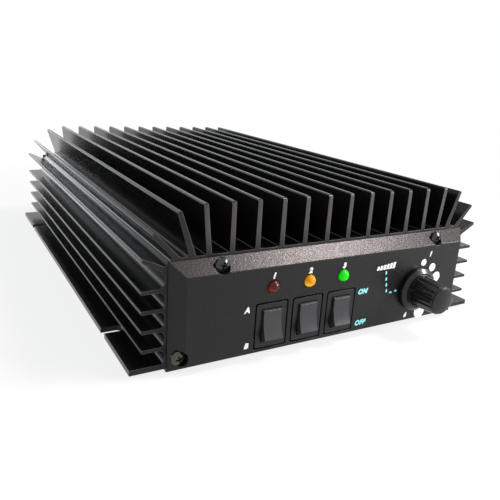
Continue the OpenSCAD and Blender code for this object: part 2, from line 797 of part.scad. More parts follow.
module output_transformer_plates() {
    w = 2 * core_d + 3;
    color(copper) for (side = [-1, 1]) {
        y = core_y + side * (core_l / 2 + 0.5);
        difference() {
            box([w, 1, core_d + 0.8], [0, y, main_low - core_d - 0.8]);
            for (x = [-1, 1] * (core_d / 2 + 0.3)) translate([x, y - 1, main_low - core_d / 2 - 0.8])
                rotate([-90, 0, 0]) cylinder(d = core_bore - 2, h = 2, $fn = 32);
        }
    }
}

module input_transformer() {
    x0 = main_w / 2 - 28.3;
    color([0.22, 0.22, 0.24]) difference() {
        box([13.4, 14.4, 7.6], [x0, core_y - 4, main_low - 7.6]);
        for (x = [-1, 1] * 2.9) translate([x0 + x, core_y - 13, main_low - 3.8]) rotate([-90, 0, 0])
            cylinder(d = 3.8, h = 20, $fn = 24);
    }
}

relay_x = main_w / 2 - 16.3;
relay_points = [[-relay_x, main_y0 + 30], [relay_x, main_y0 + 30], [-relay_x, main_y1 - 24]];

module relays() {
    color([0.1, 0.16, 0.3]) for (p = relay_points) box([16, 20, 15.5], [p[0], p[1], main_low - 15.5]);
}

// The coils and the capacitors start from one row at the board's rear
rear_row_y = main_y1 - 14;
coil_pitch = main_l / 14.4;
coil_points = [for (k = [0:3]) [main_w / 2 - 22.3, rear_row_y - k * coil_pitch]];

module filter_coils() {
    color([0.75, 0.2, 0.15]) for (p = coil_points)
        translate([p[0], p[1], main_low - 9.6]) rotate([90, 0, 0])
            rotate_extrude($fn = 48) translate([6.5, 0]) rounded_rect(6, 7.4, 1.4);
}

capacitor_points = [for (k = [0:2]) [-16 + k * 16, rear_row_y]];

module electrolytic_capacitors() {
    color([0.12, 0.12, 0.2]) for (p = capacitor_points) translate([p[0], p[1], main_low - 20])
        rotate_extrude($fn = 48) {
            square([5.8, 20]);
            translate([0, 0.6]) square([6.25, 16]);
            translate([0, 18]) square([6.25, 2]);
        }
}

fuse_points = [[-24, main_y0 + 16], [0, main_y0 + 16]];

module fuse_holders() {
    color(black) for (p = fuse_points) difference() {
        box([21, 8, 11], [p[0], p[1], main_low - 11]);
        box([19.2, 5.4, 8], [p[0], p[1], main_low - 12]);
    }
}

module blade_fuses() {
    color([0.85, 0.6, 0.1]) for (p = fuse_points) {
        box([18.8, 5, 8.5], [p[0], p[1], main_low - 14.5]);
        for (x = [-1, 1] * 5.6) box([5, 0.8, 2.5], [p[0] + x, p[1], main_low - 6.5]);
    }
}

// ---------------------------------------------------------------- rear panel

connector_inset = 25.5;                          // outermost connectors, from the panel's sides
coax_xs = [panel_w / 2 - connector_inset - 34, panel_w / 2 - connector_inset];
coax_z = panel_z + panel_h / 2;
coax_flange = 25.4;
coax_hole_gap = 18.2;
coax_screw_d = 3;
gland_x = connector_inset - panel_w / 2;
gland_hole_d = 13;
jack_x = gland_x + 28;
jack_d = 6;

module rear_panel() {
    color(panel_black) difference() {
        translate([-panel_w / 2, rear_y, panel_z]) cube([panel_w, rear_t, panel_h]);
        for (p = port_points) at_rear(p[0], p[1]) translate([0, 0, -1])
            cylinder(d = screw_d + 2 * slip, h = rear_t + 2, $fn = 24);
        for (x = coax_xs) at_rear(x, coax_z) translate([0, 0, -1]) {
            cylinder(d = coax_d + 0.3, h = rear_t + 2);
            for (i = [-1, 1], j = [-1, 1]) translate([i * coax_hole_gap / 2, j * coax_hole_gap / 2])
                cylinder(d = coax_screw_d + 2 * slip, h = rear_t + 2, $fn = 24);
        }
        at_rear(gland_x, coax_z) translate([0, 0, -1]) cylinder(d = gland_hole_d, h = rear_t + 2);
        at_rear(jack_x, coax_z) translate([0, 0, -1]) cylinder(d = jack_d + 2 * slip, h = rear_t + 2);
    }
}

module rear_screws() {
    color(black) for (k = [0:3]) at_rear(port_points[k][0], port_points[k][1])
        panel_screw(rear_t, screw_turns[3 - k]);
}

// A coaxial socket: a square flange on the panel, a threaded barrel and a stub inside
module coax_socket(x) {
    core = 11.6;
    color(nickel) at_rear(x, coax_z) difference() {
        union() {
            translate([0, 0, rear_t]) linear_extrude(height = 1.8) rounded_rect(coax_flange, coax_flange, 1);
            translate([0, 0, -3]) cylinder(d = coax_d - 0.3, h = rear_t + 4);
            translate([0, 0, rear_t]) cylinder(d = coax_d, h = coax_l - 0.8);
            translate([0, 0, rear_t + coax_l - 0.8]) cylinder(d1 = coax_d, d2 = coax_d - 1.6, h = 0.8);
        }
        translate([0, 0, -4]) cylinder(d = core, h = coax_l + 8);
        for (i = [-1, 1], j = [-1, 1]) translate([i * coax_hole_gap / 2, j * coax_hole_gap / 2, -1])
            cylinder(d = coax_screw_d + 2 * slip, h = rear_t + 6, $fn = 24);
        // teeth that stop the plug's shell from turning
        for (a = [0:45:135]) rotate([0, 0, a]) box([coax_d + 2, 0.8, 2], [0, 0, rear_t + coax_l - 0.7]);
    }
}

module coax_insulators() {
    color([0.92, 0.9, 0.84]) for (x = coax_xs) at_rear(x, coax_z) difference() {
        translate([0, 0, -4]) cylinder(d = 11.5, h = rear_t + 10);
        translate([0, 0, -5]) cylinder(d = 6, h = rear_t + 12);
    }
}

module coax_contacts() {
    color(nickel) for (x = coax_xs) at_rear(x, coax_z) difference() {
        union() {
            translate([0, 0, -4]) cylinder(d = 5.9, h = rear_t + coax_l - 1.5 + 4);
            translate([0, 0, -9]) cylinder(d = 3.2, h = 6, $fn = 32);
        }
        translate([0, 0, rear_t + 5]) cylinder(d = contact_bore_d, h = coax_l);
    }
}

module coax_screws() {
    color(nickel) for (x = coax_xs, i = [-1, 1], j = [-1, 1])
        at_rear(x + i * coax_hole_gap / 2, coax_z + j * coax_hole_gap / 2) {
            difference() {
                translate([0, 0, rear_t + 1.8]) cylinder(d1 = 5.4, d2 = 4, h = 2, $fn = 32);
                for (a = [45, 135]) rotate([0, 0, a]) box([2.8, 0.7, 2], [0, 0, rear_t + 2.8]);
            }
            translate([0, 0, -4]) cylinder(d = coax_screw_d - 0.1, h = rear_t + 6, $fn = 24);
            translate([0, 0, -2.4]) difference() {
                cylinder(d = 5.5 / cos(30), h = 2.4, $fn = 6);
                translate([0, 0, -1]) cylinder(d = coax_screw_d - 0.1, h = 5, $fn = 24);
            }
        }
}

// Rubber bush in the rear panel, where the supply leads go in
module power_gland() {
    lip = 1.6;
    color(black) at_rear(gland_x, coax_z) rotate_extrude($fn = 64) difference() {
        union() {
            translate([3.6, -lip]) square([gland_hole_d / 2 - 3.6 - 0.05, rear_t + 2 * lip]);
            translate([3.6, -lip]) square([5, lip]);
            translate([3.6, rear_t]) square([5, lip]);
        }
        translate([8.6, rear_t + lip]) rotate(45) square(1, center = true);
        translate([8.6, -lip]) rotate(45) square(1, center = true);
    }
}

module remote_jack() {
    color(plastic_black) at_rear(jack_x, coax_z) difference() {
        union() {
            cylinder(d = jack_d, h = rear_t + 3.4);
            translate([-4.5, -4.5, -12]) cube([9, 9, 12]);
        }
        translate([0, 0, -10]) cylinder(d = 3.6, h = 20, $fn = 32);
    }
}

module remote_nut() {
    color(nickel) at_rear(jack_x, coax_z) translate([0, 0, rear_t]) difference() {
        cylinder(d = 8 / cos(30), h = 1.8, $fn = 6);
        translate([0, 0, -1]) cylinder(d = jack_d + 2 * fit, h = 4);
    }
}

// ---------------------------------------------------------------- all pieces

heatsink();
bottom_cover();
cover_screws();
front_panel();
front_screws_top();
front_screws_bottom();
rear_panel();
rear_screws();
switch_housing(0);  // switch_housing_1
switch_housing(1);  // switch_housing_2
switch_housing(2);  // switch_housing_3
rocker(0);  // rocker_1
rocker(1);  // rocker_2
rocker(2);  // rocker_3
switch_pins();
led(0, [0.45, 0.05, 0.05]);  // led_1
led(1, [1, 0.6, 0.05]);  // led_2
led(2, [0.05, 0.85, 0.1]);  // led_3
led_leads();
control_board();
selector_body();
selector_washer();
selector_nut();
selector_pins();
selector_shaft();
knob();
knob_cap();
main_board();
board_link();
board_standoffs();
board_screws();
thermal_pads();
transistors();
transistor_clamp();
clamp_screws();
output_transformer_cores();
output_transformer_plates();
input_transformer();
relays();
filter_coils();
electrolytic_capacitors();
fuse_holders();
blade_fuses();
coax_socket(coax_xs[0]);  // coax_socket_input
coax_socket(coax_xs[1]);  // coax_socket_output
coax_insulators();
coax_contacts();
coax_screws();
power_gland();
remote_jack();
remote_nut();
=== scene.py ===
"""Looks of a finned mobile amplifier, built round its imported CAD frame.

Every CAD node keeps its place and shape and gets a finish here. Printed marks, the
painted pointer and the ridges of the sockets' threads are pieces of their own.
"""

from __future__ import annotations

import logging
import math
from collections.abc import Callable, Iterable, Mapping, Sequence
from dataclasses import dataclass, field
from enum import Enum
from typing import Any, ClassVar, Protocol

import bmesh
import bpy
from mathutils import Matrix, Vector

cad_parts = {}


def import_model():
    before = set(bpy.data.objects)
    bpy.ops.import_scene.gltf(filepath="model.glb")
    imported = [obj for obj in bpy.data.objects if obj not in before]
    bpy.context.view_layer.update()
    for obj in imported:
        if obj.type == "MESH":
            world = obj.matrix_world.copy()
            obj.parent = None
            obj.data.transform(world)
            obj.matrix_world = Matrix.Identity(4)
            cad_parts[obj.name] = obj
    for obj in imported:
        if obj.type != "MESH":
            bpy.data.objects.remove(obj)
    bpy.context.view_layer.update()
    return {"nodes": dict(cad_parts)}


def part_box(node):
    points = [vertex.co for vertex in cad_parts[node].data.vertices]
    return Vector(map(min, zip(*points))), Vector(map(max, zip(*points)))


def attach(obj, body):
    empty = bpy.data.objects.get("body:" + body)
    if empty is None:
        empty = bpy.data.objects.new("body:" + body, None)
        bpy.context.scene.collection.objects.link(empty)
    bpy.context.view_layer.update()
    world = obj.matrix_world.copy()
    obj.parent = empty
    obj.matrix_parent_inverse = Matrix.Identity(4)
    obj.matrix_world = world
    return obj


LOG = logging.getLogger("amplifier")
MM = 0.001

Colour = tuple[float, float, float]
Point = tuple[float, float]
Span = tuple[float, float]


def shaded(colour: Colour, share: float) -> Colour:
    """The colour made darker or paler by a share, never over white."""
    return tuple(min(1.0, part * share) for part in colour)


# ------------------------------------------------------------------ shader maths


class Graph:
    """The node tree of one material or world, to which any node can be added."""

    def __init__(self, tree: bpy.types.NodeTree) -> None:
        """Empties the tree so that only this file's nodes are in it."""
        self.tree = tree
        self.tree.nodes.clear()

    def add(
        self,
        kind: str,
        settings: Mapping[str, Any] | None = None,
        values: Mapping[str | int, Any] | None = None,
    ) -> bpy.types.Node:
        """Adds a node, sets it up, then fills or links its input sockets.

        Args:
            kind: The node's type name.
            settings: Properties to set first, such as a Math node's operation.
            values: A number, a colour, a vector or a Signal for each socket.

        Returns:
            The new node.
        """
        node = self.tree.nodes.new(kind)
        for name, setting in (settings or {}).items():
            setattr(node, name, setting)
        for name, value in (values or {}).items():
            socket = node.inputs[name]
            if isinstance(value, Signal):
                self.tree.links.new(value.socket, socket)
            else:
                socket.default_value = self._fitted(socket, value)
        return node

    @staticmethod
    def _fitted(socket: bpy.types.NodeSocket, value: Any) -> Any:
        """Gives a colour its alpha, because a colour socket takes four numbers.

        Args:
            socket: The socket to be filled.
            value: A number, a colour or a vector.

        Returns:
            The value as the socket takes it.
        """
        if socket.type == "RGBA" and not isinstance(value, (int, float)) and len(value) == 3:
            return (*value, 1.0)
        return value

    def signal(
        self,
        kind: str,
        output: str | int,
        settings: Mapping[str, Any] | None = None,
        values: Mapping[str | int, Any] | None = None,
    ) -> Signal:
        """Adds a node and returns one of its outputs as a Signal."""
        return Signal(self, self.add(kind, settings, values).outputs[output])


class Signal:
    """A node's output that takes part in Python arithmetic on numbers."""

    def __init__(self, graph: Graph, socket: bpy.types.NodeSocket) -> None:
        """Wraps one output socket of a node in the graph."""
        self.graph = graph
        self.socket = socket

    def _maths(self, operation: str, first: Any, second: Any = 0.0, clamp: bool = False) -> Signal:
        """Adds one Math node and returns its output."""
        return self.graph.signal(
            "ShaderNodeMath", 0, {"operation": operation, "use_clamp": clamp}, {0: first, 1: second}
        )

    def __add__(self, other: Any) -> Signal:
        """Sum."""
        return self._maths("ADD", self, other)

    __radd__ = __add__

    def __sub__(self, other: Any) -> Signal:
        """Difference."""
        return self._maths("SUBTRACT", self, other)

    def __rsub__(self, other: Any) -> Signal:
        """Reflected difference, so that 1 - mask works."""
        return self._maths("SUBTRACT", other, self)

    def __mul__(self, other: Any) -> Signal:
        """Product."""
        return self._maths("MULTIPLY", self, other)

    __rmul__ = __mul__

    def __pow__(self, other: Any) -> Signal:
        """Power."""
        return self._maths("POWER", self, other)

    def __abs__(self) -> Signal:
        """Size without sign."""
        return self._maths("ABSOLUTE", self)

    def above(self, limit: float) -> Signal:
        """1 where the value is over the limit, otherwise 0."""
        return self._maths("GREATER_THAN", self, limit)

    def spread(self, low: float, high: float) -> Signal:
        """The value rescaled so that low gives 0 and high gives 1, clamped."""
        return self.graph.signal(
            "ShaderNodeMapRange", 0, {"clamp": True}, {0: self, 1: low, 2: high, 3: 0.0, 4: 1.0}
        )

    def clamped(self) -> Signal:
        """The value held between 0 and 1."""
        return self._maths("ADD", self, 0.0, clamp=True)


class Surface(Graph):
    """A material's graph, with the few sources that the finishes share."""

    OCTAVE_SHARE = 0.55  # how strong each finer octave of noise is, beside the last
    EDGE_SAMPLES = 6

    def __init__(self, name: str) -> None:
        """Makes a material with its output and its sources of place and normal.

        Args:
            name: The material's name.
        """
        self.material = bpy.data.materials.new(name)
        self.material.use_nodes = True
        super().__init__(self.material.node_tree)
        self.output = self.add("ShaderNodeOutputMaterial")
        self._place = self.signal("ShaderNodeTexCoord", "Object")
        self._normal = self.signal("ShaderNodeTexCoord", "Normal")

    def axis(self, name: str) -> Signal:
        """One coordinate of the surface point, in the part's own frame, in metres."""
        return self.signal("ShaderNodeSeparateXYZ", name, values={0: self._place})

    def facing(self, name: str) -> Signal:
        """One component of the surface's own normal."""
        return self.signal("ShaderNodeSeparateXYZ", name, values={0: self._normal})

    def noise(self, grain: float, detail: float = 2.0, stretch: Colour = (1, 1, 1)) -> Signal:
        """Smooth noise between about 0 and 1.

        Args:
            grain: Size of a grain in metres.
            detail: Octaves of finer noise.
            stretch: Grain's length along each axis, as a share of grain.

        Returns:
            The noise as a number.
        """
        scaled = self.signal(
            "ShaderNodeVectorMath", 0, {"operation": "DIVIDE"},
            {0: self._place, 1: tuple(grain * share for share in stretch)},
        )
        return self.signal(
            "ShaderNodeTexNoise", 0, {"noise_dimensions": "3D"},
            {"Vector": scaled, "Scale": 1.0, "Detail": detail, "Roughness": self.OCTAVE_SHARE},
        )

    def cells(self, grain: float) -> Signal:
        """Distance to the nearest of many scattered points, in grains."""
        scaled = self.signal(
            "ShaderNodeVectorMath", 0, {"operation": "SCALE"}, {0: self._place, 3: 1.0 / grain}
        )
        return self.signal("ShaderNodeTexVoronoi", 0, None, {"Vector": scaled, "Scale": 1.0})

    def blend(self, mask: Any, first: Any, second: Any) -> Signal:
        """A colour between two, by the mask."""
        return self.signal(
            "ShaderNodeMix", 2, {"data_type": "RGBA", "clamp_factor": True},
            {0: mask, 6: first, 7: second},
        )

    def bump(self, height: Signal, depth: float, base: Signal | None = None) -> Signal:
        """A normal roughened by a height between 0 and 1.

        Args:
            height: The relief.
            depth: Its full depth in metres.
            base: A normal to roughen, if it isn't the surface's own.

        Returns:
            The new normal.
        """
        values: dict[str | int, Any] = {"Strength": 1.0, "Distance": depth, "Height": height}
        if base is not None:
            values["Normal"] = base
        return self.signal("ShaderNodeBump", 0, None, values)

    def rounded(self, radius: float) -> Signal:
        """The normal as if every edge had that radius."""
        settings = {"samples": self.EDGE_SAMPLES}
        return self.signal("ShaderNodeBevel", 0, settings, {"Radius": radius})

    def turned(self, normal: Signal) -> Signal:
        """How far a rounded normal leans from the true one: 0 away from edges."""
        true = self.signal("ShaderNodeNewGeometry", "Normal")
        return 1 - self.signal(
            "ShaderNodeVectorMath", "Value", {"operation": "DOT_PRODUCT"}, {0: normal, 1: true}
        )

    def shade(self, **values: Any) -> bpy.types.Material:
        """Finishes the material with a principled shader.

        Args:
            **values: The shader's sockets, with underscores for blanks.

        Returns:
            The finished material.
        """
        named = {name.replace("_", " "): value for name, value in values.items()}
        shader = self.signal("ShaderNodeBsdfPrincipled", 0, None, named)
        self.tree.links.new(shader.socket, self.output.inputs["Surface"])
        return self.material


# ------------------------------------------------------------------ finishes


class Finish(Protocol):
    """Anything that can make its material."""

    def material(self, name: str) -> bpy.types.Material:
        """Makes the material under that name."""
        ...


@dataclass(frozen=True)
class Anodised:
    """Black anodised extrusion: die lines along it, paler sawn ends, painted shade on the low and
    outer sawn ends, painted highlight on the fin crowns and along the edges.
    """

    colour: Colour = (0.0042, 0.0043, 0.0047)
    # Paler colour of the fin crowns: painted highlight.
    tip: Colour = (0.009, 0.0105, 0.0125)
    sawn: Colour = (0.062, 0.056, 0.054)
    # Paler colour along the edges: painted highlight.
    rubbed: Colour = (0.15, 0.16, 0.17)
    dust: Colour = (0.16, 0.17, 0.17)
    die_share: float = 1.7
    # How dark the painted shade on the low and outer sawn ends is.
    low_saw_share: float = 0.22
    square_on: Span = (0.80, 0.97)
    tip_height: float = 0.0600
    # Heights and reach over which the painted shade on the sawn ends fades out.
    sawn_heights: Span = (0.042, 0.050)
    sawn_reach: Span = (0.057, 0.064)
    die_grain: float = 0.35 * MM
    die_length: float = 160.0
    die_depth: float = 0.0015 * MM
    saw_grain: float = 0.30 * MM
    saw_length: float = 14.0
    saw_depth: float = 0.03 * MM
    cloud_grain: float = 9 * MM
    dust_spacing: float = 17 * MM
    dust_size: Span = (0.005, 0.010)
    edge: float = 0.30 * MM
    edge_lean: Span = (0.04, 0.22)
    roughness: float = 0.15
    specular: float = 0.22

    def material(self, name: str) -> bpy.types.Material:
        """Die lines run along Y, saw marks across the two ends.

        Args:
            name: The material's name.

        Returns:
            The material.
        """
        s = Surface(name)
        end = abs(s.facing("Y")).spread(*self.square_on)
        crown = s.facing("Z").spread(*self.square_on) * s.axis("Z").above(self.tip_height)
        die = s.noise(self.die_grain, 1.0, (1.0, self.die_length, 1.0))
        cloud = s.noise(self.cloud_grain, 3.0)
        dust = 1 - s.cells(self.dust_spacing).spread(*self.dust_size)
        saw = s.noise(self.saw_grain, 1.5, (self.saw_length, 1.0, 1.0))
        # Sawn ends low down and towards the sides take a darker copy of the sawn colour: painted
        # shade.
        inside = 1 - abs(s.axis("X")).spread(*self.sawn_reach)
        high = s.axis("Z").spread(*self.sawn_heights) * inside
        lined = shaded(self.colour, self.die_share)
        body = s.blend(die * 0.5 + cloud * 0.3, self.colour, lined)
        # Upward faces high on the fins take the paler crown colour: painted highlight.
        with_crown_highlight = s.blend(crown * (0.45 + cloud * 0.5), body, self.tip)
        sawn_with_shade = s.blend(high * (0.75 + saw * 0.25), shaded(self.sawn, self.low_saw_share), self.sawn)
        rounded = s.rounded(self.edge)
        # Edges where the rounded normal leans take the paler colour: painted highlight along the
        # edges.
        edge = s.turned(rounded).spread(*self.edge_lean) * (0.6 + cloud * 0.8)
        plain = s.blend(edge, s.blend(end, with_crown_highlight, sawn_with_shade), self.rubbed)
        lines = s.bump(die, self.die_depth, rounded)
        return s.shade(
            Base_Color=s.blend(dust * (1 - end), plain, self.dust),
            Roughness=self.roughness + cloud * 0.08 + end * 0.24,
            Normal=s.bump(saw * end, self.saw_depth, lines),
            Specular_IOR_Level=self.specular,
        )


@dataclass(frozen=True)
class PowderCoat:
    """Fine-textured powder coat whose grains sparkle where light grazes them."""

    colour: Colour = (0.0065, 0.0068, 0.0066)
    shades: Span = (0.75, 1.45)
    grain: float = 0.72 * MM
    fine_share: float = 0.4
    pits: Span = (0.38, 0.62)
    cloud_grain: float = 22 * MM
    depth: float = 0.060 * MM
    roughness: float = 0.20
    sparkle: float = 0.20
    edge: float = 0.5 * MM
    specular: float = 0.28

    def material(self, name: str) -> bpy.types.Material:
        """Grains give the bump, and a little of the colour.

        Args:
            name: The material's name.

        Returns:
            The material.
        """
        s = Surface(name)
        grains = s.noise(self.grain, 1.0)
        fine = s.noise(self.grain * self.fine_share, 1.0)
        cloud = s.noise(self.cloud_grain, 2.0)
        dark, light = (shaded(self.colour, share) for share in self.shades)
        return s.shade(
            Base_Color=s.blend((grains * 0.7 + cloud * 0.5 - 0.1).clamped(), dark, light),
            Roughness=self.roughness + grains * 0.06 + fine.spread(*self.pits) * self.sparkle,
            Normal=s.bump(grains * 0.7 + fine * 0.3, self.depth, s.rounded(self.edge)),
            Specular_IOR_Level=self.specular,
        )


@dataclass(frozen=True)
class Moulded:
    """Moulded plastic or rubber with a fine grain, and edges a little rounded."""

    colour: Colour
    roughness: float = 0.45
    shades: Span = (0.82, 1.22)
    grain: float = 0.18 * MM
    cloud_grain: float = 6 * MM
    depth: float = 0.006 * MM
    edge: float = 0.2 * MM
    specular: float = 0.5

    def material(self, name: str) -> bpy.types.Material:
        """The grain is in the bump and, faintly, in the colour.

        Args:
            name: The material's name.

        Returns:
            The material.
        """
        s = Surface(name)
        grain = s.noise(self.grain, 2.0)
        cloud = s.noise(self.cloud_grain, 3.0)
        dark, light = (shaded(self.colour, share) for share in self.shades)
        return s.shade(
            Base_Color=s.blend((cloud * 0.8 + grain * 0.3).clamped(), dark, light),
            Roughness=self.roughness + (cloud - 0.5) * 0.14,
            Normal=s.bump(grain, self.depth, s.rounded(self.edge)),
            Specular_IOR_Level=self.specular,
        )


@dataclass(frozen=True)
class Metal:
    """Plated, turned or milled metal with faint marks and dulled patches."""

    colour: Colour
    roughness: float = 0.28
    stretch: Colour = (1.0, 1.0, 1.0)
    metallic: float = 1.0
    marks: float = 0.12 * MM
    stain_grain: float = 3.5 * MM
    stained: Span = (0.35, 0.75)
    stain_share: float = 0.68
    depth: float = 0.006 * MM
    edge: float = 0.1 * MM

    def material(self, name: str) -> bpy.types.Material:
        """Marks lie along the stretched axis.

        Args:
            name: The material's name.

        Returns:
            The material.
        """
        s = Surface(name)
        marks = s.noise(self.marks, 2.0, self.stretch)
        stain = s.noise(self.stain_grain, 4.0)
        dull = shaded(self.colour, self.stain_share)
        return s.shade(
            Base_Color=s.blend(stain.spread(*self.stained), self.colour, dull),
            Roughness=self.roughness + stain * 0.22 + marks * 0.06,
            Normal=s.bump(marks, self.depth, s.rounded(self.edge)),
            Metallic=self.metallic,
        )


@dataclass(frozen=True)
class Lens:
    """A lamp's coloured epoxy, which gathers light in its lower rim."""

    colour: Colour
    rim: Colour
    glow: Colour
    strength: float
    rim_lean: Point = (0.5, 0.85)
    rim_span: Span = (0.25, 0.85)
    glow_share: float = 0.7
    haze_grain: float = 0.6 * MM
    haze_depth: float = 0.002 * MM
    roughness: float = 0.07
    specular: float = 0.28

    def material(self, name: str) -> bpy.types.Material:
        """The dome is deep in colour, and its lower left rim is lit through.

        Args:
            name: The material's name.

        Returns:
            The material.
        """
        s = Surface(name)
        aside, down = self.rim_lean
        rim = (0 - s.facing("Z") * down - s.facing("X") * aside).spread(*self.rim_span)
        haze = s.noise(self.haze_grain, 2.0)
        dim = shaded(self.glow, self.glow_share)
        return s.shade(
            Base_Color=s.blend((rim * 0.9 + haze * 0.1).clamped(), self.colour, self.rim),
            Roughness=self.roughness + haze * 0.03,
            Normal=s.bump(haze, self.haze_depth),
            Specular_IOR_Level=self.specular,
            Emission_Color=s.blend((rim + haze * 0.3).clamped(), dim, self.glow),
            Emission_Strength=self.strength,
        )


@dataclass(frozen=True)
class Ink:
    """Screen printed ink, a little uneven."""

    colour: Colour
    thin_share: float = 0.9
    mottle_grain: float = 0.22 * MM
    depth: float = 0.004 * MM
    roughness: float = 0.42

    def material(self, name: str) -> bpy.types.Material:
        """The mesh of the screen shows as a faint mottle.

        Args:
            name: The material's name.

        Returns:
            The material.
        """
        s = Surface(name)
        mottle = s.noise(self.mottle_grain, 2.0)
        return s.shade(
            Base_Color=s.blend(mottle, shaded(self.colour, self.thin_share), self.colour),
            Roughness=self.roughness + mottle * 0.1,
            Normal=s.bump(mottle, self.depth),
        )


@dataclass(frozen=True)
class Laminate:
    """Circuit board: copper tracks show as paler, raised paths under green resist."""

    resist: Colour = (0.012, 0.075, 0.030)
    track: Colour = (0.030, 0.150, 0.062)
    pitch: float = 2.54 * MM
    track_grain: float = 2.2
    track_length: float = 5.0
    run_edge: Span = (0.50, 0.53)
    cross_edge: Span = (0.56, 0.59)
    weave_grain: float = 0.5 * MM
    depth: float = 0.03 * MM
    edge: float = 0.1 * MM
    roughness: float = 0.30

    def material(self, name: str) -> bpy.types.Material:
        """Tracks run along and across the board, broken up by a slow noise.

        Args:
            name: The material's name.

        Returns:
            The material.
        """
        s = Surface(name)
        grain, length = self.pitch * self.track_grain, self.track_length
        run = s.noise(grain, 0.0, (1.0, length, 1.0)).spread(*self.run_edge)
        cross = s.noise(grain, 0.0, (length, 1.0, 1.0)).spread(*self.cross_edge)
        tracks = (run + cross).clamped()
        weave = s.noise(self.weave_grain, 1.0)
        return s.shade(
            Base_Color=s.blend(tracks, self.resist, self.track),
            Roughness=self.roughness + weave * 0.12,
            Normal=s.bump(tracks + weave * 0.15, self.depth, s.rounded(self.edge)),
        )


class Slot(Enum):
    """The material slots."""

    ANODISED = "anodised_black"
    COVER = "cover_black"
    PANEL = "panel_black"
    SCREW_BLACK = "screw_black"
    SCREW_NICKEL = "screw_nickel"
    SWITCH = "switch_black"
    ROCKER = "rocker_black"
    TINNED = "tinned_metal"
    LAMP_RED = "lamp_red"
    LAMP_AMBER = "lamp_amber"
    LAMP_GREEN = "lamp_green"
    BOARD = "board_green"
    SELECTOR = "selector_blue"
    BRIGHT = "bright_metal"
    KNOB = "knob_black"
    CAP = "cap_grey"
    PAD = "pad_grey"
    DEVICE = "device_black"
    CLAMP = "clamp_aluminium"
    FERRITE = "ferrite_grey"
    COPPER = "copper"
    RELAY = "relay_blue"
    COIL = "coil_red"
    SLEEVE = "capacitor_sleeve"
    FUSE = "fuse_amber"
    COAX = "coax_nickel"
    INSULATOR = "insulator_cream"
    GLAND = "gland_rubber"


FINISHES: dict[Slot, Finish] = {
    Slot.ANODISED: Anodised(),
    Slot.COVER: PowderCoat(colour=(0.006, 0.006, 0.0065)),
    Slot.PANEL: PowderCoat(),
    Slot.SCREW_BLACK: Metal((0.060, 0.060, 0.062), roughness=0.02, metallic=0.9),
    Slot.SCREW_NICKEL: Metal((0.085, 0.082, 0.066), roughness=0.03, metallic=0.85),
    Slot.SWITCH: Moulded((0.006, 0.006, 0.0065), roughness=0.34, specular=0.35),
    Slot.ROCKER: Moulded((0.030, 0.031, 0.036), roughness=0.28, specular=0.42),
    Slot.TINNED: Metal((0.62, 0.62, 0.64), roughness=0.3),
    Slot.LAMP_RED: Lens((0.035, 0.001, 0.001), (0.30, 0.020, 0.015), (0.14, 0.008, 0.006), 0.30),
    Slot.LAMP_AMBER: Lens((0.62, 0.20, 0.000), (0.90, 0.62, 0.02), (0.80, 0.32, 0.00), 0.40),
    Slot.LAMP_GREEN: Lens((0.0, 0.60, 0.000), (0.0, 0.26, 0.0), (0.0, 0.90, 0.0), 0.45),
    Slot.BOARD: Laminate(),
    Slot.SELECTOR: Moulded((0.02, 0.03, 0.09)),
    Slot.BRIGHT: Metal((0.60, 0.59, 0.56)),
    Slot.KNOB: Moulded((0.005, 0.005, 0.0058), roughness=0.22, specular=0.36),
    Slot.CAP: Moulded((0.008, 0.008, 0.009), roughness=0.24, edge=0.3 * MM, specular=0.28),
    Slot.PAD: Moulded((0.34, 0.34, 0.36), roughness=0.7, depth=0.01 * MM),
    Slot.DEVICE: Moulded((0.018, 0.018, 0.019), roughness=0.55),
    Slot.CLAMP: Metal((0.62, 0.62, 0.64), roughness=0.34, stretch=(60.0, 1.0, 1.0)),
    Slot.FERRITE: Moulded((0.06, 0.06, 0.065), roughness=0.62, depth=0.02 * MM),
    Slot.COPPER: Metal((0.70, 0.30, 0.14), roughness=0.3),
    Slot.RELAY: Moulded((0.02, 0.05, 0.18), roughness=0.3),
    Slot.COIL: Moulded((0.36, 0.03, 0.02), roughness=0.5, depth=0.02 * MM),
    Slot.SLEEVE: Moulded((0.02, 0.02, 0.05), roughness=0.28),
    Slot.FUSE: Moulded((0.62, 0.26, 0.02), roughness=0.25),
    Slot.COAX: Metal((0.60, 0.57, 0.50), roughness=0.2),
    Slot.INSULATOR: Moulded((0.72, 0.66, 0.52), roughness=0.5),
    Slot.GLAND: Moulded((0.016, 0.016, 0.016), roughness=0.62, depth=0.012 * MM),
}


# ------------------------------------------------------------------ workshop


